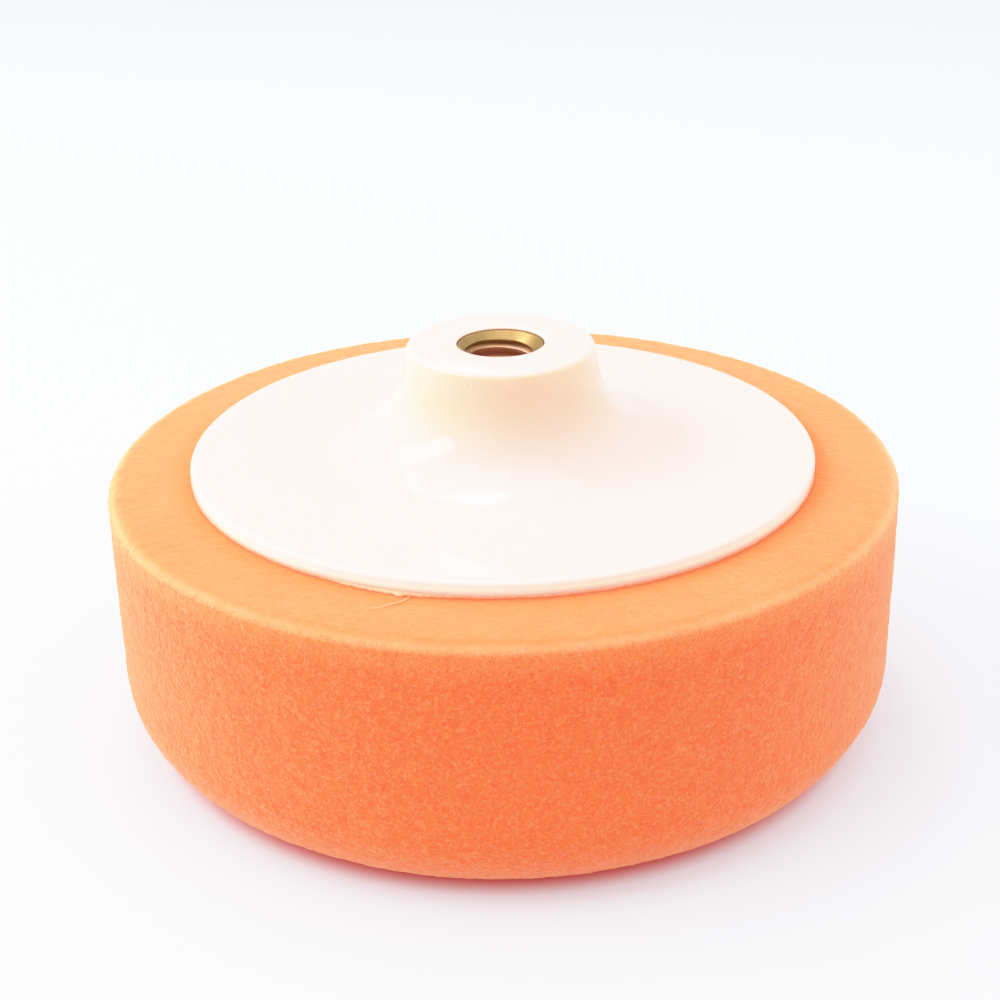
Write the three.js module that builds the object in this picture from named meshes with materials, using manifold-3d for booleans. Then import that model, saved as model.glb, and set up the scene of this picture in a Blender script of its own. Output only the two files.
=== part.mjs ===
// A threaded polishing pad for a rotary polisher, made of four bonded pieces:
// a round foam disc, a film of adhesive, a moulded backing plate whose conical hub rises from its
// centre, and a knurled brass insert with an M14 x 2 thread that is moulded into the hub.
//
// Millimetres. The origin is the centre of the foam's working face, and +Z points up the spindle
// axis, from the working face towards the hub.

import * as THREE from "three";
import { mergeVertices } from "three/addons/utils/BufferGeometryUtils.js";
import Module from "manifold-3d";

const wasm = await Module();
wasm.setup();

// ---- Driving dimensions ----

const SEGMENTS = 96; // straight sides that stand for one full circle

// Foam disc, nominally 150 mm across and 50 mm thick.
const FOAM_RADIUS = 75;
const FOAM_HEIGHT = 50;
const FOAM_FLARE = 0.4; // how far the side leans out by the time it meets the lower edge
const FOAM_SHOULDER = { radius: 3.2, end: 35 }; // the top rolls over to this slope in degrees, then a crisp crease
const FOAM_LOWER_EDGE = 13.5; // radius of the lower edge

// Adhesive film between the foam and the plate.
const GLUE_THICKNESS = 0.3;
const GLUE_SETBACK = 0.4; // how far the film stops short of the plate's rim

// Backing plate.
const PLATE_RADIUS = 59.5;
const PLATE_THICKNESS = 2.5;
const PLATE_TOP_EDGE = 1.1; // radius of the rim's upper edge
const PLATE_LOWER_EDGE = 0.4; // radius of the rim's lower edge
const PLATE_CROWN = 0.5; // rise of the plate's top face from its rim to the flare

// Hub, which grows out of the plate in one wide concave flare.
const HUB_TOP_RADIUS = 17.8;
const HUB_HEIGHT = 22.85; // from the foam's top face to the hub's top face
const HUB_TOP_EDGE = 1.2;
const HUB_DRAFT = THREE.MathUtils.degToRad(7);
const FLARE_RADIUS = 18.5;
const MOUTH_CHAMFER = 0.25; // where the hub's top face meets the insert's pocket

// Threaded insert, an M14 x 2 bush.
const THREAD_PITCH = 2;
const THREAD_MAJOR_RADIUS = 7;
const THREAD_MINOR_RADIUS = THREAD_MAJOR_RADIUS - 0.54127 * THREAD_PITCH;
const INSERT_RADIUS = 8.25; // over the knurl's teeth
const INSERT_LENGTH = 20;
const INSERT_RECESS = 0.4; // depth of the insert's end below the hub's top face
const KNURL_TEETH = 60;
const KNURL_DEPTH = 0.4;
const COUNTERSINK_RADIUS = 7.75;
const LEAD_IN = 0.8; // 45 degree chamfer at the thread's lower end
const WAIST_RADIUS = 7.5; // groove between the two knurled bands, which locks the insert in the hub
const WAIST_HEIGHT = 5;
const INSERT_CLEARANCE = 0.05;

// ---- Levels ----

const PLATE_BOTTOM = FOAM_HEIGHT + GLUE_THICKNESS;
const PLATE_RIM_TOP = PLATE_BOTTOM + PLATE_THICKNESS;
const HUB_TOP = FOAM_HEIGHT + HUB_HEIGHT;
const INSERT_TOP = HUB_TOP - INSERT_RECESS;
const INSERT_BOTTOM = INSERT_TOP - INSERT_LENGTH;
const WAIST_MIDDLE = (INSERT_TOP + INSERT_BOTTOM) / 2;
const SPINDLE_HOLE_RADIUS = THREAD_MAJOR_RADIUS + 0.2; // below the insert, clear of the spindle

// ---- Materials ----

const foamMaterial = new THREE.MeshStandardMaterial({ color: 0xfc8846, roughness: 0.95, metalness: 0 });
const glueMaterial = new THREE.MeshStandardMaterial({ color: 0xf4c48e, roughness: 0.35, metalness: 0 });
const plateMaterial = new THREE.MeshStandardMaterial({ color: 0xf8efe6, roughness: 0.3, metalness: 0 });
const brassMaterial = new THREE.MeshStandardMaterial({ color: 0xd9a95c, roughness: 0.3, metalness: 1 });

// ---- Helpers ----

/** Points of an elliptical arc about (x, y), both ends included. Angles are in degrees. */
function arc(x, y, halfWidth, halfHeight, from, to, steps) {
  const points = [];
  for (let i = 0; i <= steps; i++) {
    const angle = THREE.MathUtils.degToRad(from + ((to - from) * i) / steps);
    points.push([x + halfWidth * Math.cos(angle), y + halfHeight * Math.sin(angle)]);
  }
  return points;
}

/** A solid of revolution about +Z from [radius, height] points that run anticlockwise. */
function revolve(points) {
  const profile = points.map(([radius, height]) => new THREE.Vector2(Math.max(radius, 0), height));
  const geometry = new THREE.LatheGeometry(profile, SEGMENTS);
  geometry.rotateX(Math.PI / 2);
  return geometry;
}

/** As revolve, for a ring: the profile is closed by returning to its first point. */
function revolveRing(points) {
  return revolve([...points, points[0]]);
}

/** The manifold-3d solid inside a closed geometry. */
function toSolid(geometry) {
  const bare = new THREE.BufferGeometry();
  bare.setAttribute("position", geometry.getAttribute("position"));
  bare.setIndex(geometry.getIndex());
  const merged = mergeVertices(bare, 1e-4);
  return new wasm.Manifold(
    new wasm.Mesh({
      numProp: 3,
      vertProperties: merged.attributes.position.array,
      triVerts: new Uint32Array(merged.index.array),
    }),
  );
}

/** A geometry from a manifold-3d solid. */
function toGeometry(solid) {
  const { vertProperties, triVerts } = solid.getMesh();
  const geometry = new THREE.BufferGeometry();
  geometry.setAttribute("position", new THREE.BufferAttribute(vertProperties, 3));
  geometry.setIndex(new THREE.BufferAttribute(triVerts, 1));
  geometry.computeVertexNormals();
  return geometry;
}

function piece(name, geometry, material) {
  const mesh = new THREE.Mesh(geometry, material);
  mesh.name = name;
  return mesh;
}

// ---- Foam disc ----

function foamGeometry() {
  const sideRadius = FOAM_RADIUS + FOAM_FLARE;
  const lower = FOAM_LOWER_EDGE;
  const { radius, end } = FOAM_SHOULDER;
  const shoulderCentre = FOAM_RADIUS - radius * Math.cos(THREE.MathUtils.degToRad(end));
  return revolve([
    [0, 0],
    ...arc(sideRadius - lower, lower, lower, lower, -90, 0, 10),
    ...arc(shoulderCentre, FOAM_HEIGHT - radius, radius, radius, end, 90, 4),
    [0, FOAM_HEIGHT],
  ]);
}

// ---- Adhesive layer ----

function adhesiveGeometry() {
  const outer = PLATE_RADIUS - PLATE_LOWER_EDGE - GLUE_SETBACK;
  const inner = SPINDLE_HOLE_RADIUS + GLUE_SETBACK;
  return revolveRing([
    [inner, FOAM_HEIGHT],
    [outer, FOAM_HEIGHT],
    [outer, PLATE_BOTTOM],
    [inner, PLATE_BOTTOM],
  ]);
}

// ---- Backing plate with its hub ----

/**
 * Centre of the concave flare: one flare radius away from both the hub's drafted side and the
 * plate's gently crowned top face, so that the arc is tangent to both.
 */
function flareCentre(crownSlope) {
  const rimRadius = PLATE_RADIUS - PLATE_TOP_EDGE;
  const [a, b] = [Math.sin(crownSlope), Math.cos(crownSlope)];
  const [c, d] = [Math.cos(HUB_DRAFT), Math.sin(HUB_DRAFT)];
  const alongPlate = a * rimRadius + b * PLATE_RIM_TOP + FLARE_RADIUS;
  const alongHub = c * HUB_TOP_RADIUS + d * HUB_TOP + FLARE_RADIUS;
  const determinant = a * d - b * c;
  return [(alongPlate * d - b * alongHub) / determinant, (a * alongHub - alongPlate * c) / determinant];
}

/** The wall of the pocket that holds the insert, from the hub's mouth down to the plate's web. */
function pocketProfile() {
  const wall = INSERT_RADIUS + INSERT_CLEARANCE;
  const rib = WAIST_RADIUS + INSERT_CLEARANCE;
  const ribTop = WAIST_MIDDLE + WAIST_HEIGHT / 2 - INSERT_CLEARANCE;
  const ribBottom = WAIST_MIDDLE - WAIST_HEIGHT / 2 + INSERT_CLEARANCE;
  const floor = INSERT_BOTTOM - INSERT_CLEARANCE;
  return [
    [wall + MOUTH_CHAMFER, HUB_TOP],
    [wall, HUB_TOP - MOUTH_CHAMFER],
    [wall, ribTop],
    [rib, ribTop],
    [rib, ribBottom],
    [wall, ribBottom],
    [wall, floor],
    [SPINDLE_HOLE_RADIUS, floor],
  ];
}

function plateGeometry() {
  const crownSlope = Math.atan2(PLATE_CROWN, PLATE_RADIUS - HUB_TOP_RADIUS - FLARE_RADIUS);
  const crownDegrees = THREE.MathUtils.radToDeg(crownSlope);
  const draftDegrees = THREE.MathUtils.radToDeg(HUB_DRAFT);
  const [flareX, flareY] = flareCentre(crownSlope);
  const rimX = PLATE_RADIUS - PLATE_TOP_EDGE;
  const rimY = PLATE_RIM_TOP - PLATE_TOP_EDGE;
  const hubX = HUB_TOP_RADIUS - HUB_TOP_EDGE;
  const hubY = HUB_TOP - HUB_TOP_EDGE;
  return revolveRing([
    [SPINDLE_HOLE_RADIUS, PLATE_BOTTOM],
    ...arc(
      PLATE_RADIUS - PLATE_LOWER_EDGE, PLATE_BOTTOM + PLATE_LOWER_EDGE,
      PLATE_LOWER_EDGE, PLATE_LOWER_EDGE, -90, 0, 2,
    ),
    ...arc(rimX, rimY, PLATE_TOP_EDGE, PLATE_TOP_EDGE, 0, 90 - crownDegrees, 4),
    ...arc(flareX, flareY, FLARE_RADIUS, FLARE_RADIUS, 270 - crownDegrees, 180 + draftDegrees, 12),
    ...arc(hubX, hubY, HUB_TOP_EDGE, HUB_TOP_EDGE, draftDegrees, 90, 4),
    ...pocketProfile(),
  ]);
}

// ---- Threaded insert ----

/** The insert before knurling: bore at the thread's minor radius, countersink, waist and lead-in. */
function insertBlank() {
  const toothTip = INSERT_RADIUS + 1; // outside the knurl, whose outline cuts it back
  const sinkDepth = COUNTERSINK_RADIUS - THREAD_MINOR_RADIUS;
  const waistTop = WAIST_MIDDLE + WAIST_HEIGHT / 2;
  const waistBottom = WAIST_MIDDLE - WAIST_HEIGHT / 2;
  return revolveRing([
    [THREAD_MINOR_RADIUS + LEAD_IN, INSERT_BOTTOM],
    [toothTip, INSERT_BOTTOM],
    [toothTip, waistBottom],
    [WAIST_RADIUS, waistBottom],
    [WAIST_RADIUS, waistTop],
    [toothTip, waistTop],
    [toothTip, INSERT_TOP],
    [COUNTERSINK_RADIUS, INSERT_TOP],
    [THREAD_MINOR_RADIUS, INSERT_TOP - sinkDepth],
    [THREAD_MINOR_RADIUS, INSERT_BOTTOM + LEAD_IN],
  ]);
}

/** A prism whose outline is the ring of knurl teeth. */
function knurlPrism() {
  const outline = new THREE.Shape();
  for (let i = 0; i < 2 * KNURL_TEETH; i++) {
    const angle = (Math.PI * i) / KNURL_TEETH;
    const radius = i % 2 ? INSERT_RADIUS - KNURL_DEPTH : INSERT_RADIUS;
    const [x, y] = [radius * Math.cos(angle), radius * Math.sin(angle)];
    if (i) outline.lineTo(x, y);
    else outline.moveTo(x, y);
  }
  outline.closePath();
  const margin = 1; // reaches past both ends of the insert, which the blank cuts
  const geometry = new THREE.ExtrudeGeometry(outline, {
    depth: INSERT_LENGTH + 2 * margin,
    bevelEnabled: false,
  });
  geometry.translate(0, 0, INSERT_BOTTOM - margin);
  return geometry;
}

function insertGeometry() {
  return toGeometry(toSolid(insertBlank()).intersect(toSolid(knurlPrism())));
}

// ---- The pad ----

const polishingPad = new THREE.Group();
polishingPad.add(
  piece("foam_disc", foamGeometry(), foamMaterial),
  piece("adhesive_layer", adhesiveGeometry(), glueMaterial),
  piece("backing_plate", plateGeometry(), plateMaterial),
  piece("threaded_insert", insertGeometry(), brassMaterial),
);

export default polishingPad;
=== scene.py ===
"""Looks of the polishing pad: a cellular foam disc, a glue film with a little squeeze-out, a glossy
moulded backing plate with its flared hub, and a knurled brass insert with a helical thread.

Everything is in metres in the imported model's frame: the origin is the centre of the working face and
+Z points up the spindle axis.
"""

import math

import bmesh
import bpy
import numpy as np
from mathutils import Matrix, Vector, noise


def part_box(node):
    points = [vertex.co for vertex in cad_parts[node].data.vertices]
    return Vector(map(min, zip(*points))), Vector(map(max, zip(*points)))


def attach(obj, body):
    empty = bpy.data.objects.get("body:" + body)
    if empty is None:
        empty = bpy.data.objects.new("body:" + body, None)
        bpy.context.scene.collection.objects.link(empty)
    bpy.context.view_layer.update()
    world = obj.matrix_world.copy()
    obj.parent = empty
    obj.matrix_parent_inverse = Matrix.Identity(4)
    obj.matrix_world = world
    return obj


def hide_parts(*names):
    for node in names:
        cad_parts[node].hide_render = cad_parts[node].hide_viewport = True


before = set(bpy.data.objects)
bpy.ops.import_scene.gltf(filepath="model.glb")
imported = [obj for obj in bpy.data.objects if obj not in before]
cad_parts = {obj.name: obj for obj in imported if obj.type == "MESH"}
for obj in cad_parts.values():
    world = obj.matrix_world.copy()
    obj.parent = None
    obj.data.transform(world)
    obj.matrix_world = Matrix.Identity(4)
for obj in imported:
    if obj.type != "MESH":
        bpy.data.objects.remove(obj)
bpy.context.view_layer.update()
MM = 0.001

# ---- Levels and radii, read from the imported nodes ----

FOAM_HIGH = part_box("foam_disc")[1]
PLATE_LOW, PLATE_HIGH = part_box("backing_plate")
INSERT_LOW, INSERT_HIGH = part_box("threaded_insert")

FOAM_SIDE_RADIUS = FOAM_HIGH.x
FOAM_TOP = FOAM_HIGH.z
FOAM_TAPER = 0.4 * MM  # the side leans in by this much on its way up
FOAM_TOP_RADIUS = FOAM_SIDE_RADIUS - FOAM_TAPER
FOAM_SHOULDER_RADIUS = 3.2 * MM  # the top rolls over to a 55 degree slope, then meets the side in a crease
FOAM_SHOULDER_END = 35  # degrees of arc left when it meets the side
FOAM_LOWER_EDGE = 13.5 * MM
FOAM_CREASE = FOAM_TOP - FOAM_SHOULDER_RADIUS * (1 - math.sin(math.radians(FOAM_SHOULDER_END)))

PLATE_RADIUS = PLATE_HIGH.x
PLATE_BOTTOM = PLATE_LOW.z
PLATE_THICKNESS = 2.5 * MM
PLATE_RIM_TOP = PLATE_BOTTOM + PLATE_THICKNESS
PLATE_TOP_EDGE = 1.1 * MM
PLATE_LOWER_EDGE = 0.4 * MM
PLATE_CROWN = 0.5 * MM

HUB_TOP = PLATE_HIGH.z
HUB_TOP_RADIUS = 17.8 * MM
HUB_TOP_EDGE = 1.2 * MM
HUB_DRAFT = math.radians(7)
FLARE_RADIUS = 18.5 * MM

INSERT_RADIUS = INSERT_HIGH.x
THREAD_PITCH = 2 * MM
THREAD_MAJOR_RADIUS = 7 * MM
THREAD_HEIGHT = 0.54127 * THREAD_PITCH  # five eighths of the sharp V of an M thread
THREAD_MINOR_RADIUS = THREAD_MAJOR_RADIUS - THREAD_HEIGHT
COUNTERSINK_RADIUS = 7.75 * MM
KNURL_TEETH = 60
KNURL_DEPTH = 0.4 * MM
INSERT_BEVEL = 0.25 * MM
WAIST_DEPTH = 0.75 * MM
WAIST_HALF = 2.45 * MM
WAIST_OFFSETS = (-2.5, -2.4, 2.4, 2.5)  # mm from the insert's middle, just outside and inside the waist
POCKET_GAP = 0.02 * MM  # the moulding closes round the knurl's teeth
SPINDLE_HOLE_RADIUS = THREAD_MAJOR_RADIUS + 0.2 * MM

# ---- Camera, lights and stage ----

LENS_MM = 59.55
SENSOR_MM = 36
CAMERA_DISTANCE = 0.3203  # from the middle of the foam's top face
CAMERA_ELEVATION = math.radians(23.14)
CAMERA_YAW = 0.002
CAMERA_PITCH = -0.028
CAMERA_ROLL = -0.018

TONE_WHITE = 3.0
TONE_KNEE = 0.75
TONE_STEPS = 24

WORLD_COLOUR = (0.985, 0.992, 1, 1)
WORLD_STRENGTH = 0.85

FLOOR_GAP = 0.05 * MM  # keeps the floor off the working face, which lies in the same plane
FLOOR_HALF = 12  # metres
FLOOR_PALE = (0.48, 0.52, 0.56, 1)
# painted red contact shadow on the floor close round the foam
FLOOR_RED_SHADOW_PAINT = (0.50, 0.22, 0.20, 1)
GLOW_PALE = (0.90, 0.93, 1.0, 1)
# painted red bounce light: the floor glows red close round the foam
GLOW_RED_BOUNCE_PAINT = (0.68, 0.05, 0.03, 1)
GLOW_START = 66  # mm from the axis, where the painted red shadow and glow round the foam start to fade and where they end
GLOW_END = 72
FAR_START = 1300  # mm from the axis, where the floor starts to brighten towards the horizon's tone
FAR_END = 4000


def make_camera():
    """The camera stands in front of the pad, aims a little below the foam's top face, and leans over."""
    target = Vector((0, 0, FOAM_TOP))
    back = Vector((0, -math.cos(CAMERA_ELEVATION), math.sin(CAMERA_ELEVATION)))
    right = Vector((1, 0, 0))
    up = right.cross(-back)
    yaw = Matrix.Rotation(CAMERA_YAW, 3, up)
    forward = Matrix.Rotation(CAMERA_PITCH, 3, right) @ (yaw @ -back)
    right = yaw @ right
    up = right.cross(forward)
    tilted_right = right * math.cos(CAMERA_ROLL) + up * math.sin(CAMERA_ROLL)
    tilted_up = up * math.cos(CAMERA_ROLL) - right * math.sin(CAMERA_ROLL)
    data = bpy.data.cameras.new("camera")
    data.lens = LENS_MM
    data.sensor_width = SENSOR_MM
    data.clip_start = 0.01
    data.clip_end = 50
    camera = bpy.data.objects.new("camera", data)
    bpy.context.scene.collection.objects.link(camera)
    axes = Matrix((tilted_right, tilted_up, -forward)).transposed()
    camera.matrix_world = Matrix.Translation(target + back * CAMERA_DISTANCE) @ axes.to_4x4()
    bpy.context.scene.camera = camera


def area_light(name, direction, distance, size, power, mirrored=True):
    """A soft oblong light that shines on the pad; mirrored tells whether glossy surfaces show its shape."""
    target = Vector((0, 0, FOAM_TOP))
    towards = Vector(direction).normalized()
    data = bpy.data.lights.new(name, "AREA")
    data.shape = "RECTANGLE"
    data.size, data.size_y = size
    data.energy = power
    light = bpy.data.objects.new(name, data)
    bpy.context.scene.collection.objects.link(light)
    light.rotation_mode = "QUATERNION"
    light.rotation_quaternion = towards.to_track_quat("Z", "Y")
    light.location = target + towards * distance
    light.visible_glossy = mirrored
    return light


def towards(azimuth, elevation):
    """Direction of a light: azimuth in degrees clockwise from +Y, seen from above, and elevation."""
    a, e = math.radians(azimuth), math.radians(elevation)
    return (math.sin(a) * math.cos(e), math.cos(a) * math.cos(e), math.sin(e))


def make_lights():
    """Broad soft panels left, right and above, and smaller softboxes that draw the gloss on the plastic."""
    area_light("panel_left", towards(-91, 26), 1.2, (2.2, 1.1), 19.5, mirrored=False)
    area_light("panel_right", towards(95, 32), 1.2, (1.8, 1.2), 10, mirrored=False)
    area_light("panel_top", towards(0, 85), 1.2, (1.0, 1.0), 4)
    area_light("softbox_left", towards(-92, 45), 1.0, (0.8, 0.24), 3.0)
    area_light("softbox_back", towards(-12, 66), 0.9, (0.17, 0.33), 1.4)
    area_light("strip_side", towards(-42, 55), 0.9, (0.30, 0.05), 0.3)
    area_light("strip_back", towards(-2, 26.8), 1.2, (0.05, 0.16), 0.13)


def make_tone():
    """A plain sRGB view with a soft shoulder, so that white paper keeps a trace of tone as film does."""
    settings = bpy.context.scene.view_settings
    settings.view_transform = "Standard"
    settings.use_curve_mapping = True
    mapping = settings.curve_mapping
    mapping.white_level = (TONE_WHITE,) * 3
    mapping.extend = "HORIZONTAL"
    curve = mapping.curves[3]
    for step in range(1, TONE_STEPS):
        level = TONE_WHITE * (step / TONE_STEPS) ** 1.5
        curve.points.new(level / TONE_WHITE, toned(level))
    mapping.update()


def toned(level):
    """Straight up to the knee, then an exponential approach to white."""
    if level < TONE_KNEE:
        return level
    return TONE_KNEE + (1 - TONE_KNEE) * (1 - math.exp((TONE_KNEE - level) / (1 - TONE_KNEE)))


def make_world():
    world = bpy.data.worlds.new("studio")
    world.use_nodes = True
    background = world.node_tree.nodes["Background"]
    background.inputs["Color"].default_value = WORLD_COLOUR
    background.inputs["Strength"].default_value = WORLD_STRENGTH
    bpy.context.scene.world = world


def make_floor():
    """A pale table top with a faint glow of its own, and a painted red contact shadow and painted red glow
    close round the foam that it carries.
    """
    half = FLOOR_HALF
    mesh = bpy.data.meshes.new("floor")
    corners = [(-half, -half, 0), (half, -half, 0), (half, half, 0), (-half, half, 0)]
    mesh.from_pydata(corners, [], [(0, 1, 2, 3)])
    floor = bpy.data.objects.new("floor", mesh)
    floor.location.z = -FLOOR_GAP
    bpy.context.scene.collection.objects.link(floor)
    n = Nodes("floor_paper")
    distance = n.vector("LENGTH", n.place)
    clear_of_red_paint = n.ramp(distance, GLOW_START, GLOW_END)
    # close round the foam the floor carries a painted red shadow and a painted red glow
    n.set(
        Base_Color=n.mix(clear_of_red_paint, FLOOR_RED_SHADOW_PAINT, FLOOR_PALE),
        Roughness=0.7, Specular_IOR_Level=0.2,
        Emission_Color=n.mix(clear_of_red_paint, GLOW_RED_BOUNCE_PAINT, GLOW_PALE),
        Emission_Strength=n.ramp(distance, FAR_START, FAR_END, 0.30, 0.43),
    )
    mesh.materials.append(n.material)


# ---- Mesh helpers ----


def arc(x, z, half_width, half_height, start, end, steps):
    """[radius, height] points of an elliptical arc about (x, z), both ends included, in degrees."""
    angles = np.radians(np.linspace(start, end, steps + 1))
    return np.column_stack((x + half_width * np.cos(angles), z + half_height * np.sin(angles)))


def resampled(points, step):
    """The same open polyline with its points about a step apart, straight stretches included."""
    points = np.asarray(points, float)
    lengths = np.hypot(*np.diff(points, axis=0).T)
    along = np.concatenate(([0], np.cumsum(lengths)))
    count = max(2, round(along[-1] / step) + 1)
    wanted = np.linspace(0, along[-1], count)
    return np.column_stack([np.interp(wanted, along, points[:, axis]) for axis in (0, 1)])


def new_piece(name, points, faces):
    """A smooth-shaded mesh object from vertices and faces, which are wound to face outwards."""
    mesh = bpy.data.meshes.new(name)
    mesh.from_pydata(points.tolist(), [], faces)
    mesh.validate()
    mesh.shade_smooth()
    piece = bpy.data.objects.new(name, mesh)
    bpy.context.scene.collection.objects.link(piece)
    return piece


def ring_points(radius, height, count):
    angles = np.arange(count) * (2 * math.pi / count)
    return np.column_stack((radius * np.cos(angles), radius * np.sin(angles), np.full(count, height)))


def revolve(profile, segments):
    """Vertices and faces of a ring-shaped solid of revolution from a closed [radius, height] profile."""
    points = np.concatenate([ring_points(r, z, segments) for r, z in profile])
    rows = len(profile)
    faces = []
    for row in range(rows):
        here = row * segments
        there = (row + 1) % rows * segments
        for i in range(segments):
            j = (i + 1) % segments
            faces.append((here + i, here + j, there + j, there + i))
    return points, faces


# ---- Foam disc ----

FOAM_SEGMENTS = 1152
FOAM_STEP = 0.42 * MM
HIDDEN_STEP = 0.8 * MM
TOP_RELIEF = 0.5  # the top face is cut smoother than the side
BROAD_HEIGHT, BROAD_SIZE = 0.20, 26  # mm
LUMP_HEIGHT, LUMP_SIZE = 0.10, 2.4
GRAIN_HEIGHT, GRAIN_SIZE = 0.09, 0.9
PORE_DEPTH, PORE_SPACING = 0.16, 1.3
PORE_REACH = 0.45  # as a share of the spacing
HALVING_RADII = (37 * MM, 18.5 * MM, 9 * MM, 4.5 * MM)  # inside each, rings have half as many points


def foam_profile():
    """From the middle of the working face, round the lower edge, up the side and in over the top."""
    lower = FOAM_LOWER_EDGE
    shoulder = FOAM_SHOULDER_RADIUS
    shoulder_centre = FOAM_TOP_RADIUS - shoulder * math.cos(math.radians(FOAM_SHOULDER_END))
    bottom_radii = np.arange(0.6 * MM, FOAM_SIDE_RADIUS - lower, HIDDEN_STEP)
    bottom = np.column_stack((bottom_radii, np.zeros(len(bottom_radii))))
    side = arc(FOAM_SIDE_RADIUS - lower, lower, lower, lower, -90, 0, 24)
    top = arc(shoulder_centre, FOAM_TOP - shoulder, shoulder, shoulder, FOAM_SHOULDER_END, 90, 8)
    side = resampled(np.concatenate((side, top[:1])), FOAM_STEP)
    top = resampled(np.concatenate((top, [(PLATE_RADIUS - 2 * MM, FOAM_TOP)])), FOAM_STEP)
    hidden_radii = np.arange(PLATE_RADIUS - 4 * MM, 0.6 * MM, -2 * MM)
    hidden = np.column_stack((hidden_radii, np.full(len(hidden_radii), FOAM_TOP)))
    return np.concatenate((bottom, side, top[1:], hidden))


def ring_count(radius):
    return FOAM_SEGMENTS >> sum(radius < limit for limit in HALVING_RADII)


def foam_mesh(profile):
    """A closed mesh of rings whose point counts halve towards the axis, so that cells keep their size."""
    counts = [ring_count(r) for r, _ in profile]
    starts = np.concatenate(([0], np.cumsum(counts)))
    points = np.concatenate([ring_points(r, z, n) for (r, z), n in zip(profile, counts)])
    faces = []
    for row in range(len(profile) - 1):
        here, there, n, m = starts[row], starts[row + 1], counts[row], counts[row + 1]
        if n == m:
            faces += [(here + i, here + (i + 1) % n, there + (i + 1) % n, there + i) for i in range(n)]
        elif m > n:
            faces += [
                (here + i, here + (i + 1) % n, there + (2 * i + 2) % m, there + 2 * i + 1, there + 2 * i)
                for i in range(n)
            ]
        else:
            faces += [
                (here + 2 * i, here + 2 * i + 1, here + (2 * i + 2) % n, there + (i + 1) % m, there + i)
                for i in range(m)
            ]
    last = starts[-2]
    faces.append(tuple(range(counts[0] - 1, -1, -1)))
    faces.append(tuple(last + i for i in range(counts[-1])))
    return points, faces


def foam_normals(profile):
    """Outward direction at every point of the foam mesh, square to the profile."""
    tangent = np.gradient(profile, axis=0)
    across, up = tangent[:, 1], -tangent[:, 0]
    length = np.hypot(across, up)
    across, up = across / length, up / length
    return np.concatenate([ring_points(a, u, ring_count(r)) for a, u, (r, _) in zip(across, up, profile)])


def foam_relief(point):
    """How far the surface stands out at a point, in mm: broad unevenness, soft lumps and pores."""
    p = Vector(point) / MM
    broad = BROAD_HEIGHT * noise.noise(p / BROAD_SIZE)
    lumps = LUMP_HEIGHT * noise.noise(p / LUMP_SIZE) + GRAIN_HEIGHT * noise.noise(p / GRAIN_SIZE)
    distances, _ = noise.voronoi(p / PORE_SPACING)
    pore = max(0.0, PORE_REACH - distances[0]) / PORE_REACH
    return broad + lumps - PORE_DEPTH * pore


def make_foam():
    profile = foam_profile()
    points, faces = foam_mesh(profile)
    normals = foam_normals(profile)
    for i, (x, y, z) in enumerate(points):
        radius = math.hypot(x, y)
        on_top = z > FOAM_TOP - 0.01 * MM
        if on_top and radius < PLATE_RADIUS + 0.1 * MM:
            continue
        calm = TOP_RELIEF if on_top else 1.0
        points[i] += normals[i] * calm * foam_relief((x, y, z)) * MM
    points[:, 2] = np.maximum(points[:, 2], 0)
    foam = new_piece("foam_pad", points, faces)
    foam.data.materials.append(foam_material())
    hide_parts("foam_disc")
    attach(foam, "root")


# ---- Backing plate ----

PLATE_SEGMENTS = 384


def flare_centre(crown_slope):
    """Centre of the concave flare, one flare radius from both the hub's side and the plate's top."""
    rim_radius = PLATE_RADIUS - PLATE_TOP_EDGE
    a, b = math.sin(crown_slope), math.cos(crown_slope)
    c, d = math.cos(HUB_DRAFT), math.sin(HUB_DRAFT)
    along_plate = a * rim_radius + b * PLATE_RIM_TOP + FLARE_RADIUS
    along_hub = c * HUB_TOP_RADIUS + d * HUB_TOP + FLARE_RADIUS
    determinant = a * d - b * c
    x = (along_plate * d - b * along_hub) / determinant
    z = (a * along_hub - along_plate * c) / determinant
    return x, z


def plate_profile():
    crown_slope = math.atan2(PLATE_CROWN, PLATE_RADIUS - HUB_TOP_RADIUS - FLARE_RADIUS)
    crown = math.degrees(crown_slope)
    draft = math.degrees(HUB_DRAFT)
    flare_x, flare_z = flare_centre(crown_slope)
    wall = INSERT_RADIUS + POCKET_GAP
    lip = 0.25 * MM  # radius of the rounded mouth
    lower = PLATE_LOWER_EDGE
    edge = PLATE_TOP_EDGE
    floor = INSERT_LOW.z - POCKET_GAP
    rim = PLATE_RADIUS - edge
    slope = math.tan(crown_slope)
    crown_points = [(r * MM, PLATE_RIM_TOP + (rim - r * MM) * slope) for r in range(57, 37, -1)]
    hub_edge = HUB_TOP_EDGE
    return np.concatenate((
        [(SPINDLE_HOLE_RADIUS, PLATE_BOTTOM), (30 * MM, PLATE_BOTTOM)],
        arc(PLATE_RADIUS - lower, PLATE_BOTTOM + lower, lower, lower, -90, 0, 5),
        arc(rim, PLATE_RIM_TOP - edge, edge, edge, 0, 90 - crown, 10),
        crown_points,
        arc(flare_x, flare_z, FLARE_RADIUS, FLARE_RADIUS, 270 - crown, 180 + draft, 48),
        arc(HUB_TOP_RADIUS - hub_edge, HUB_TOP - hub_edge, hub_edge, hub_edge, draft, 90, 12),
        [(13 * MM, HUB_TOP)],
        arc(wall + lip, HUB_TOP - lip, lip, lip, 90, 180, 5),
        [(wall, floor), (SPINDLE_HOLE_RADIUS, floor)],
    ))


def make_plate():
    points, faces = revolve(plate_profile(), PLATE_SEGMENTS)
    plate = new_piece("plate_moulding", points, faces)
    plate.data.materials.append(plate_material())
    plate.data.set_sharp_from_angle(angle=math.radians(50))
    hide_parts("backing_plate")
    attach(plate, "root")


# ---- Glue film ----

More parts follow.
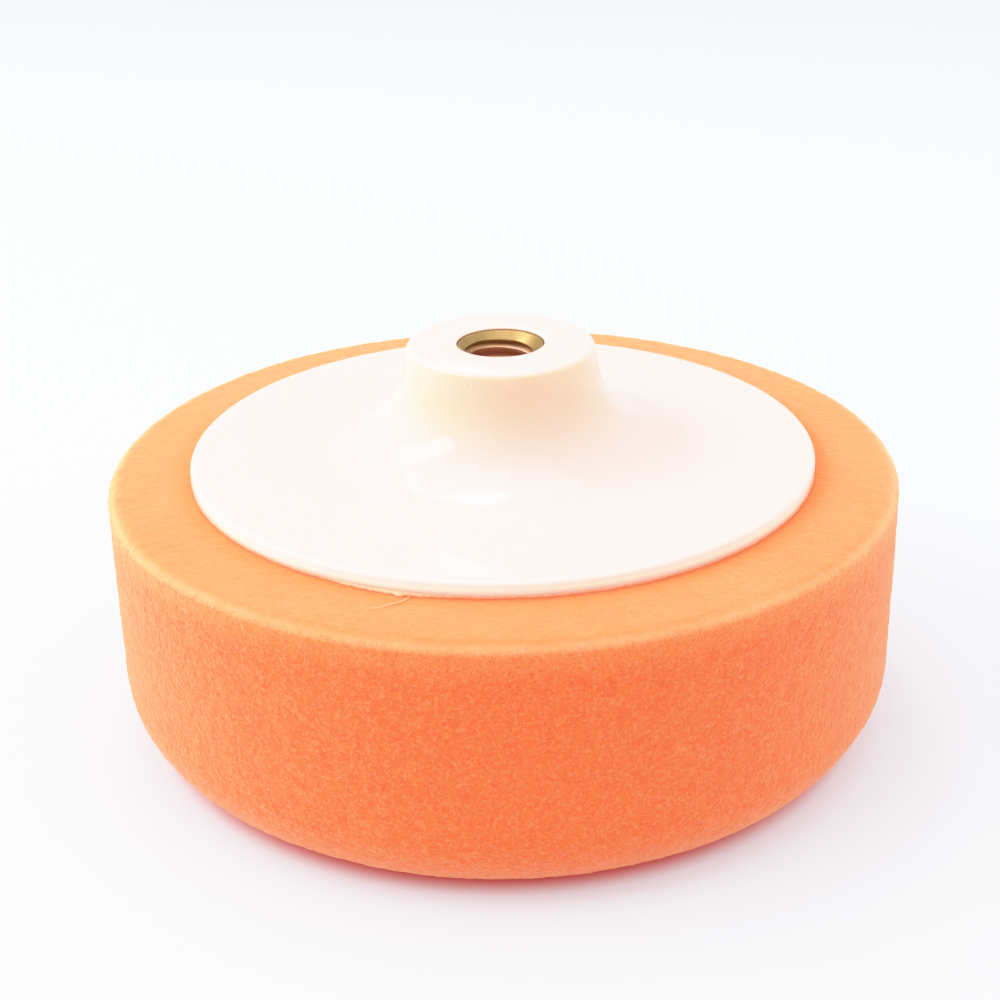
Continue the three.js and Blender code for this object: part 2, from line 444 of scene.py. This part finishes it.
GLUE_SEGMENTS = 1440
RUN_ANGLE = math.radians(270 - 18)  # where most of the glue was squeezed out, in front and to the left
RUN_SPREAD = math.radians(7)
STRAND_START = math.radians(270 - 14.8)
STRAND_SWEEP = math.radians(-4.9)
STRAND_RADIUS = 0.16 * MM
STRAND_SIDES = 8
STRAND_STEPS = 48


def glue_edge(angle):
    """Radius that the glue reaches at an angle: a small even bead, ragged on the side where it ran out."""
    x, y = math.cos(angle), math.sin(angle)
    ragged = 0.06 * noise.noise(Vector((x, y, 0)) * 14) + 0.06 * noise.noise(Vector((x, y, 0.5)) * 60)
    from_run = (angle - RUN_ANGLE + math.pi) % (2 * math.pi) - math.pi
    run = math.exp(-(from_run / RUN_SPREAD) ** 2)
    crumbs = 0.5 + 0.9 * max(0.0, noise.noise(Vector((x, y, 3)) * 55))
    return PLATE_RADIUS + (0.03 + ragged + run * crumbs) * MM


def glue_film():
    """The film under the plate, ending in a bead that wraps the plate's lower edge."""
    inner = SPINDLE_HOLE_RADIUS + 0.4 * MM
    points = []
    for i in range(GLUE_SEGMENTS):
        angle = 2 * math.pi * i / GLUE_SEGMENTS
        outer = glue_edge(angle)
        foot = outer - PLATE_RADIUS
        section = [
            (inner, FOAM_TOP),
            (outer - 0.1 * MM, FOAM_TOP - 0.15 * MM),
            (outer, FOAM_TOP + 0.06 * MM),
            (outer - 0.25 * foot, FOAM_TOP + 0.28 * MM),
            (PLATE_RADIUS + 0.02 * MM, FOAM_TOP + 0.50 * MM),
            (PLATE_RADIUS - 0.12 * MM, FOAM_TOP + 0.60 * MM),
            (PLATE_RADIUS - 0.5 * MM, PLATE_BOTTOM),
            (inner, PLATE_BOTTOM),
        ]
        points += [(r * math.cos(angle), r * math.sin(angle), z) for r, z in section]
    rows = len(section)
    faces = []
    for i in range(GLUE_SEGMENTS):
        here, there = i * rows, (i + 1) % GLUE_SEGMENTS * rows
        faces += [(here + k, there + k, there + (k + 1) % rows, here + (k + 1) % rows) for k in range(rows)]
    return points, faces


def glue_strand(first):
    """A thin string of glue on the foam, drawn out from the bead and away to the left."""
    sides = STRAND_SIDES
    steps = STRAND_STEPS
    points = []
    for i in range(steps + 1):
        share = i / steps
        angle = STRAND_START + share * STRAND_SWEEP
        radius = PLATE_RADIUS + (0.6 + 6.0 * share ** 0.6 + 0.15 * math.sin(share * 11)) * MM
        thickness = STRAND_RADIUS * (1.02 - share) ** 0.5
        for k in range(sides):
            turn = 2 * math.pi * k / sides
            r = radius + thickness * math.cos(turn)
            z = FOAM_TOP + 0.10 * MM + 0.7 * thickness * math.sin(turn)
            points.append((r * math.cos(angle), r * math.sin(angle), z))
    faces = []
    for i in range(steps):
        for k in range(sides):
            j = (k + 1) % sides
            here, there = first + i * sides, first + (i + 1) * sides
            faces.append((here + k, there + k, there + j, here + j))
    faces.append(tuple(first + k for k in range(sides)))
    faces.append(tuple(first + steps * sides + k for k in range(sides - 1, -1, -1)))
    return points, faces


def make_glue():
    points, faces = glue_film()
    more_points, more_faces = glue_strand(len(points))
    glue = new_piece("glue_film", np.array(points + more_points), faces + more_faces)
    glue.data.materials.append(glue_material())
    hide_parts("adhesive_layer")
    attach(glue, "root")


# ---- Brass insert ----

INSERT_SEGMENTS = 4 * KNURL_TEETH
THREAD_START = 0.72  # turn by which the helix starts below the insert's lower end
THREAD_CREST = 1 / 11  # half widths of the flats, as shares of the pitch
THREAD_ROOT = 1 / 16
FLANK_ROWS = np.linspace(THREAD_CREST, 0.5 - THREAD_ROOT, 6)
THREAD_ROWS = (0, *FLANK_ROWS, 0.5, *(1 - FLANK_ROWS[::-1]))


def thread_radius(phase):
    """Radius of the M thread's wall at a share of its pitch: crest flat, flank, root flat, flank."""
    from_crest = min(phase, 1 - phase)
    rise = min(1.0, max(0.0, (from_crest - THREAD_CREST) / (0.5 - THREAD_CREST - THREAD_ROOT)))
    return THREAD_MINOR_RADIUS + rise * (THREAD_MAJOR_RADIUS - THREAD_MINOR_RADIUS)


def bore_radius(phase, z):
    """The thread, opened by the 90 degree countersink at the top and the lead-in at the bottom."""
    sink = COUNTERSINK_RADIUS - (INSERT_HIGH.z - z)
    lead = THREAD_MINOR_RADIUS + 1.1 * MM - (z - INSERT_LOW.z)
    return max(thread_radius(phase), sink, lead)


def knurl_radius(index, z):
    """Radius of the knurled outside at one of the four points of each tooth, with its waist and bevels."""
    middle = (INSERT_HIGH.z + INSERT_LOW.z) / 2
    if abs(z - middle) < WAIST_HALF:
        return INSERT_RADIUS - WAIST_DEPTH
    depth = (0, 0.5, 1, 0.5)[index % 4] * KNURL_DEPTH
    bevel = max(0.0, INSERT_BEVEL - (z - INSERT_LOW.z))
    return INSERT_RADIUS - max(depth, bevel)


def bore_points(rows):
    """A column of points at each angle, one row for each step of the thread, climbing with the helix."""
    per_pitch = len(THREAD_ROWS)
    low, high = INSERT_LOW.z, INSERT_HIGH.z
    points = []
    for j in range(INSERT_SEGMENTS):
        angle = 2 * math.pi * j / INSERT_SEGMENTS
        for k in range(rows):
            phase = THREAD_ROWS[k % per_pitch]
            climb = (k // per_pitch - 1 + phase + j / INSERT_SEGMENTS - THREAD_START) * THREAD_PITCH
            z = min(high, max(low, low + climb))
            r = bore_radius(phase, z)
            points.append((r * math.cos(angle), r * math.sin(angle), z))
    return points


def bore_faces(rows):
    """Strips between neighbouring columns; at the seam the helix has climbed by one pitch."""
    faces = []
    for j in range(INSERT_SEGMENTS):
        last = j == INSERT_SEGMENTS - 1
        shift = len(THREAD_ROWS) if last else 0
        here, there = j * rows, (j + 1) % INSERT_SEGMENTS * rows + shift
        faces += [(here + k, here + k + 1, there + k + 1, there + k) for k in range(rows - 1 - shift)]
    return faces


def outside_levels():
    """Heights of the outside's rows: the bevelled ends, and the waist's steep sides."""
    low, high = INSERT_LOW.z, INSERT_HIGH.z
    middle = (high + low) / 2
    waist = [middle + offset * MM for offset in WAIST_OFFSETS]
    return [low, low + INSERT_BEVEL, *waist, high - INSERT_BEVEL, high]


def outside_points(levels):
    points = []
    for j in range(INSERT_SEGMENTS):
        angle = 2 * math.pi * j / INSERT_SEGMENTS
        for z in levels:
            r = knurl_radius(j, z)
            points.append((r * math.cos(angle), r * math.sin(angle), z))
    return points


def outside_faces(first, rows, count):
    """The outside's strips, and the two end rings that join them to the bore's first and last rows."""
    faces = []
    for j in range(INSERT_SEGMENTS):
        here = first + j * count
        there = first + (j + 1) % INSERT_SEGMENTS * count
        faces += [(here + k, there + k, there + k + 1, here + k + 1) for k in range(count - 1)]
        bore_here, bore_there = j * rows, (j + 1) % INSERT_SEGMENTS * rows
        faces.append((bore_here, bore_there, there, here))
        faces.append((bore_there + rows - 1, bore_here + rows - 1, here + count - 1, there + count - 1))
    return faces


def insert_mesh():
    """The threaded bore and the knurled outside, joined at both ends."""
    turns = round((INSERT_HIGH.z - INSERT_LOW.z) / THREAD_PITCH) + 3
    rows = turns * len(THREAD_ROWS)
    bore = bore_points(rows)
    levels = outside_levels()
    faces = bore_faces(rows) + outside_faces(len(bore), rows, len(levels))
    return np.array(bore + outside_points(levels)), faces


def make_insert():
    points, faces = insert_mesh()
    insert = new_piece("brass_insert", points, faces)
    merge_doubles(insert.data, 0.001 * MM)
    insert.data.set_sharp_from_angle(angle=math.radians(24))
    insert.data.materials.append(brass_material())
    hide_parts("threaded_insert")
    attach(insert, "root")


def merge_doubles(mesh, distance):
    work = bmesh.new()
    work.from_mesh(mesh)
    bmesh.ops.remove_doubles(work, verts=work.verts, dist=distance)
    bmesh.ops.recalc_face_normals(work, faces=work.faces)
    work.to_mesh(mesh)
    work.free()


# ---- Material helpers ----


class Nodes:
    """A short way to add shader nodes to one material."""

    def __init__(self, name):
        self.material = bpy.data.materials.new(name)
        self.material.use_nodes = True
        self.tree = self.material.node_tree
        self.shader = self.tree.nodes["Principled BSDF"]
        texture_coordinates = self.tree.nodes.new("ShaderNodeTexCoord")
        self.place = self.vector("SCALE", texture_coordinates.outputs["Object"], scale=1 / MM)

    def link(self, source, target):
        self.tree.links.new(source, target)

    def put(self, socket, value):
        """Gives a socket a link or a plain value."""
        if isinstance(value, bpy.types.NodeSocket):
            self.link(value, socket)
        else:
            socket.default_value = value

    def math(self, operation, a, b=0.0):
        node = self.tree.nodes.new("ShaderNodeMath")
        node.operation = operation
        self.put(node.inputs[0], a)
        self.put(node.inputs[1], b)
        return node.outputs[0]

    def times(self, a, b):
        return self.math("MULTIPLY", a, b)

    def vector(self, operation, a, b=(0, 0, 0), scale=1.0):
        node = self.tree.nodes.new("ShaderNodeVectorMath")
        node.operation = operation
        self.put(node.inputs[0], a)
        self.put(node.inputs[1], b)
        if operation == "SCALE":
            node.inputs["Scale"].default_value = scale
        return node.outputs["Value" if operation == "LENGTH" else "Vector"]

    def from_axis(self):
        """Distance from the spindle's axis, in mm."""
        return self.vector("LENGTH", self.vector("MULTIPLY", self.place, (1, 1, 0)))

    def noise(self, size, detail=2.0, roughness=0.5, place=None):
        """Noise from 0 to 1 whose features are about size mm across."""
        node = self.tree.nodes.new("ShaderNodeTexNoise")
        self.link(place or self.place, node.inputs["Vector"])
        node.inputs["Scale"].default_value = 1 / size
        node.inputs["Detail"].default_value = detail
        node.inputs["Roughness"].default_value = roughness
        return node.outputs["Fac"]

    def cells(self, size):
        """Distance from 0 and random colour of cells about size mm across."""
        node = self.tree.nodes.new("ShaderNodeTexVoronoi")
        self.link(self.place, node.inputs["Vector"])
        node.inputs["Scale"].default_value = 1 / size
        return node.outputs

    def ramp(self, value, low, high, start=0.0, end=1.0):
        """value mapped smoothly so that low gives start and high gives end."""
        node = self.tree.nodes.new("ShaderNodeMapRange")
        node.interpolation_type = "SMOOTHSTEP"
        self.put(node.inputs["Value"], value)
        node.inputs["From Min"].default_value = low
        node.inputs["From Max"].default_value = high
        node.inputs["To Min"].default_value = start
        node.inputs["To Max"].default_value = end
        return node.outputs["Result"]

    def mix(self, share, a, b):
        node = self.tree.nodes.new("ShaderNodeMix")
        node.data_type = "RGBA"
        self.put(node.inputs["Factor"], share)
        self.put(node.inputs["A"], a)
        self.put(node.inputs["B"], b)
        return node.outputs["Result"]

    def separate(self, vector):
        node = self.tree.nodes.new("ShaderNodeSeparateXYZ")
        self.link(vector, node.inputs[0])
        return node.outputs

    def combine(self, a, b):
        """A vector from two numbers, for patterns that run round the axis."""
        node = self.tree.nodes.new("ShaderNodeCombineXYZ")
        self.put(node.inputs[0], a)
        self.put(node.inputs[1], b)
        return node.outputs[0]

    def bump(self, height, distance, strength):
        """height in 0 to 1, and the real depth that 1 stands for, in metres."""
        node = self.tree.nodes.new("ShaderNodeBump")
        self.link(height, node.inputs["Height"])
        node.inputs["Distance"].default_value = distance
        node.inputs["Strength"].default_value = strength
        return node.outputs["Normal"]

    def set(self, **values):
        """Sets the shader's sockets, whose names are written with underscores."""
        for name, value in values.items():
            self.put(self.shader.inputs[name.replace("_", " ")], value)


# ---- Materials ----

FOAM_DEEP = (1.0, 0.136, 0.030, 1)
FOAM_BRIGHT = (1.0, 0.176, 0.039, 1)
FOAM_PATCH = (1.0, 0.156, 0.032, 1)
FOAM_TIP = (1.0, 0.29, 0.11, 1)
# painted shade in the pores and holes
FOAM_PORE_SHADE = (0.45, 0.040, 0.006, 1)
# painted highlight along the crease
FOAM_CREASE_HIGHLIGHT = (1.0, 0.36, 0.20, 1)
# painted shadow on the foam beside the plate
FOAM_PLATE_SHADOW = (1.0, 0.160, 0.020, 1)
FOAM_LIT = (1.0, 0.262, 0.072, 1)
FOAM_SHADE = (0.78, 0.092, 0.016, 1)
# painted light: the top face paler than the side
FOAM_TOP_PAINTED_LIGHT = (1.0, 0.186, 0.032, 1)

PLATE_MILK = (0.81, 0.565, 0.515, 1)
PLATE_MILK_DEEP = (0.80, 0.555, 0.500, 1)
# partly the thick wall's tone, partly painted shade on the hub's side
PLATE_THICK_WALL_AND_SHADE = (0.80, 0.54, 0.385, 1)
# painted light on the rim's lower edge
PLATE_RIM_PAINTED_LIGHT = (1.0, 0.86, 0.76, 1)
PLATE_HALO = (0.84, 0.54, 0.40, 1)
# painted shade in the crevice round the insert
PLATE_POCKET_SHADE = (0.30, 0.17, 0.08, 1)
PLATE_SPECK = (0.25, 0.16, 0.10, 1)

GLUE_DEEP = (0.98, 0.38, 0.22, 1)
GLUE_PALE = (1.0, 0.47, 0.30, 1)

BRASS_BRIGHT = (0.58, 0.39, 0.165, 1)
BRASS_TARNISH = (0.50, 0.325, 0.125, 1)
BRASS_RING = (0.34, 0.20, 0.07, 1)
# painted reflection: light bouncing down the brass bore
BRASS_PAINTED_BOUNCE = (1.0, 0.66, 0.50, 1)
# painted shade on the thread's flanks
BRASS_FLANK_SHADE = (0.62, 0.24, 0.12, 1)
# a thin dark ring just outside the countersink
BRASS_SINK_EDGE_DARK = (0.20, 0.11, 0.04, 1)
BRASS_GAP = (0.14, 0.08, 0.03, 1)


def foam_ground(n, top, calm):
    """The foam's own colour, mottled and patchy, and painted light that makes the top face a little paler."""
    mottle = n.noise(2.2, 2.0, 0.6)
    patches = n.noise(22, 2.0, 0.5)
    base = n.mix(n.times(n.ramp(mottle, 0.30, 0.70), calm), FOAM_DEEP, FOAM_BRIGHT)
    base = n.mix(n.ramp(patches, 0.35, 0.65, 0, 0.4), base, FOAM_PATCH)
    # painted light on the top face
    return n.mix(n.times(top, 0.55), base, FOAM_TOP_PAINTED_LIGHT)


def foam_edge_light(n, z, base):
    """Brighter towards the crease and over the shoulder, where light gets through the thin edge."""
    edge_light = n.times(
        n.ramp(z, FOAM_CREASE / MM - 6.2, FOAM_CREASE / MM - 1.2),
        n.ramp(z, FOAM_TOP / MM - 0.15, FOAM_TOP / MM - 0.8),
    )
    return n.mix(n.times(edge_light, 0.72), base, FOAM_LIT)


def foam_pores(n, calm):
    """Share of an open pore, from 0 to 1."""
    cells = n.cells(0.60)
    pore = n.ramp(cells["Distance"], 0.50, 0.15)
    open_cell = n.ramp(n.separate(cells["Color"])[0], 0.1, 0.9)
    return n.times(n.times(pore, open_cell), calm)


def foam_holes(n):
    """Small crisp holes, in some of the cells only, shown as painted shade."""
    holes = n.cells(0.64)
    return n.times(n.ramp(holes["Distance"], 0.28, 0.10), n.ramp(n.separate(holes["Color"])[0], 0.2, 0.5))


def foam_grain(n, grain, deep, calm, base):
    """Pale strut tips, painted shade between them, and painted shade in the pores and holes."""
    fine = n.noise(0.40, 2.0, 0.6)
    tips = n.times(n.ramp(grain, 0.42, 0.70), calm)
    shade = n.times(n.ramp(fine, 0.62, 0.38), calm)
    base = n.mix(n.times(tips, 0.55), base, FOAM_TIP)
    base = n.mix(n.times(shade, 0.42), base, FOAM_SHADE)
    # painted shade in the pores and holes
    base = n.mix(n.times(deep, 0.28), base, FOAM_PORE_SHADE)
    return n.mix(n.times(foam_holes(n), 0.48), base, FOAM_PORE_SHADE)


def foam_crease(n, z, base):
    """A painted highlight: a pale, uneven line along the crease, where its torn struts catch the light."""
    from_crease = n.math("ABSOLUTE", n.math("SUBTRACT", FOAM_CREASE / MM + 0.5, z))
    uneven = n.ramp(n.noise(9, 2.0), 0.25, 0.6, 0.30, 0.48)
    # painted highlight along the crease
    return n.mix(n.times(n.ramp(from_crease, 1.2, 0.1), uneven), base, FOAM_CREASE_HIGHLIGHT)


def foam_plate_shadow(n, top, base):
    """Painted shadow: a deeper orange on the top beside the plate, where the plate's edge shades the foam."""
    near_plate = n.ramp(n.from_axis(), PLATE_RADIUS / MM + 5.5, PLATE_RADIUS / MM + 1.0)
    # painted shadow beside the plate
    return n.mix(n.times(n.times(near_plate, top), 0.75), base, FOAM_PLATE_SHADOW)


def foam_material():
    """Open-cell foam: pale strut tips round pores darkened with painted shade, and light that wanders for
    millimetres inside.
    """
    n = Nodes("orange_foam")
    z = n.separate(n.place)[2]
    top = n.ramp(z, FOAM_TOP / MM - 1.2, FOAM_TOP / MM - 0.3)
    calm = n.ramp(top, 0, 1, 1.0, 0.30)
    grain = n.noise(0.80, 3.0, 0.55)
    deep = foam_pores(n, calm)
    base = foam_ground(n, top, calm)
    base = foam_edge_light(n, z, base)
    base = foam_grain(n, grain, deep, calm, base)
    base = foam_crease(n, z, base)
    base = foam_plate_shadow(n, top, base)
    height = n.math("SUBTRACT", n.times(grain, calm), n.times(deep, 0.40))
    n.set(
        Base_Color=base, Roughness=0.92, Specular_IOR_Level=0.3,
        Subsurface_Weight=0.7, Subsurface_Radius=(1.0, 0.75, 0.6), Subsurface_Scale=8 * MM,
        Sheen_Weight=0.42, Sheen_Roughness=0.5, Sheen_Tint=(1.0, 0.80, 0.62, 1),
        Normal=n.bump(height, 0.26 * MM, 1.0),
    )
    return n.material


def plate_ground(n, z, cloud):
    """Milky plastic, warmer up the hub: partly the thick wall's deeper tone, partly painted shade on the
    hub's side.
    """
    above = n.ramp(z, FOAM_TOP / MM + 6, FOAM_TOP / MM + 17)
    below_top = n.ramp(z, HUB_TOP / MM - 0.02, HUB_TOP / MM - 0.9)
    # warmer tint up the hub: partly the thick wall's tone, partly painted shade
    thick = n.times(n.times(above, below_top), n.ramp(cloud, 0.2, 0.8, 0.7, 1.0))
    base = n.mix(n.ramp(n.noise(30, 2.0), 0.3, 0.7), PLATE_MILK_DEEP, PLATE_MILK)
    return n.mix(thick, base, PLATE_THICK_WALL_AND_SHADE)


def plate_rings(n, z, cloud, base):
    """Painted light on the rim's lower edge, a warm halo round the insert, and painted shade in the pocket
    that holds it.
    """
    radius = n.from_axis()
    rim = n.times(
        n.ramp(radius, PLATE_RADIUS / MM - 1.2, PLATE_RADIUS / MM - 0.3),
        n.ramp(z, PLATE_RIM_TOP / MM - 0.5, PLATE_RIM_TOP / MM - 1.4),
    )
    halo = n.times(n.ramp(radius, 12.5, 8.6), n.ramp(cloud, 0.35, 0.6))
    pocket = n.times(
        n.ramp(radius, INSERT_RADIUS / MM + 0.12, INSERT_RADIUS / MM + 0.05),
        n.ramp(z, HUB_TOP / MM - 0.2, HUB_TOP / MM - 0.4),
    )
    # painted light on the rim's lower edge
    base = n.mix(n.times(rim, 0.95), base, PLATE_RIM_PAINTED_LIGHT)
    base = n.mix(n.times(halo, 0.55), base, PLATE_HALO)
    # painted shade in the crevice round the insert
    return n.mix(pocket, base, PLATE_POCKET_SHADE)


def plate_specks(n, base):
    """A few dark specks."""
    cells = n.cells(3.4)
    speck = n.ramp(cells["Distance"], 0.05, 0.03)
    rare = n.ramp(n.separate(cells["Color"])[1], 0.955, 0.965)
    return n.mix(n.times(n.times(speck, rare), 0.55), base, PLATE_SPECK)


def plate_material():
    """Natural moulded plastic: glossy, milky, and warmer up the hub, partly from the thick wall and partly
    from painted shade on its side.
    """
    n = Nodes("milky_plastic")
    z = n.separate(n.place)[2]
    cloud = n.noise(9, 2.0, 0.5)
    base = plate_ground(n, z, cloud)
    base = plate_rings(n, z, cloud, base)
    base = plate_specks(n, base)
    scuffs = n.noise(0.8, 4.0, 0.7, place=n.vector("MULTIPLY", n.place, (1, 4, 1)))
    n.set(
        Base_Color=base, Roughness=n.ramp(scuffs, 0.3, 0.8, 0.07, 0.14), IOR=1.5, Specular_IOR_Level=0.5,
        Subsurface_Weight=0.6, Subsurface_Radius=(1.0, 0.75, 0.55), Subsurface_Scale=5 * MM,
        Normal=n.bump(n.noise(14, 2.0), 0.05 * MM, 0.5),
    )
    return n.material


def glue_material():
    """Dried contact glue: yellowish and waxy, with small lumps."""
    n = Nodes("dried_glue")
    lumps = n.noise(0.9, 3.0, 0.6)
    base = n.mix(n.ramp(lumps, 0.3, 0.7), GLUE_DEEP, GLUE_PALE)
    n.set(
        Base_Color=base, Roughness=n.ramp(lumps, 0.3, 0.7, 0.3, 0.5),
        Subsurface_Weight=0.5, Subsurface_Radius=(1.0, 0.6, 0.3), Subsurface_Scale=1.5 * MM,
        Normal=n.bump(lumps, 0.2 * MM, 0.6),
    )
    return n.material


def brass_thread(n, radius, z, base):
    """A painted reflection: a redder tint down the bore, where light bounces between the brass walls, and a
    darker red painted shade on the thread's flanks.
    """
    top = INSERT_HIGH.z / MM
    crest = THREAD_MINOR_RADIUS / MM
    deep = n.ramp(z, top - 1.7, top - 3.6)
    flank = n.times(n.ramp(radius, crest + 0.06, crest + 0.35), n.ramp(z, top - 1.8, top - 2.1))
    # painted reflection down the bore, then painted shade on the flanks
    base = n.mix(n.times(deep, 0.95), base, BRASS_PAINTED_BOUNCE)
    return n.mix(n.times(flank, 0.40), base, BRASS_FLANK_SHADE)


def brass_rim(n, radius, x, y, z, base):
    """A thin dark ring just outside the countersink, and dark gaps between the knurl's teeth."""
    top = INSERT_HIGH.z / MM
    sink = COUNTERSINK_RADIUS / MM
    dark_ring = n.times(n.ramp(radius, sink + 0.02, sink + 0.08), n.ramp(z, top - 0.01, top - 0.06))
    base = n.mix(dark_ring, base, BRASS_SINK_EDGE_DARK)
    tooth = n.math("COSINE", n.times(n.math("ARCTAN2", y, x), KNURL_TEETH))
    gap = n.times(n.ramp(tooth, 0.5, -0.1), n.ramp(radius, sink + 0.05, sink + 0.15))
    return n.mix(n.times(gap, 0.85), base, BRASS_GAP)


def brass_material():
    """Turned brass: fine rings from the lathe tool, a thread reddened by painted reflection and shade, and a
    rim darkened between its teeth.
    """
    n = Nodes("turned_brass")
    x, y, z = n.separate(n.place)
    radius = n.from_axis()
    turning = n.noise(0.12, 2.0, 0.6, place=n.combine(radius, z))
    tarnish = n.noise(2.2, 3.0, 0.6)
    base = n.mix(n.ramp(tarnish, 0.3, 0.7), BRASS_TARNISH, BRASS_BRIGHT)
    base = n.mix(n.ramp(turning, 0.35, 0.65, 0.25, 0.0), base, BRASS_RING)
    base = brass_thread(n, radius, z, base)
    base = brass_rim(n, radius, x, y, z, base)
    n.set(
        Base_Color=base, Metallic=1.0, Roughness=n.ramp(turning, 0.3, 0.7, 0.34, 0.48),
        Normal=n.bump(turning, 0.02 * MM, 0.6),
    )
    return n.material


# ---- The scene ----

make_tone()
make_camera()
make_world()
make_lights()
make_floor()
make_foam()
make_glue()
make_plate()
make_insert()
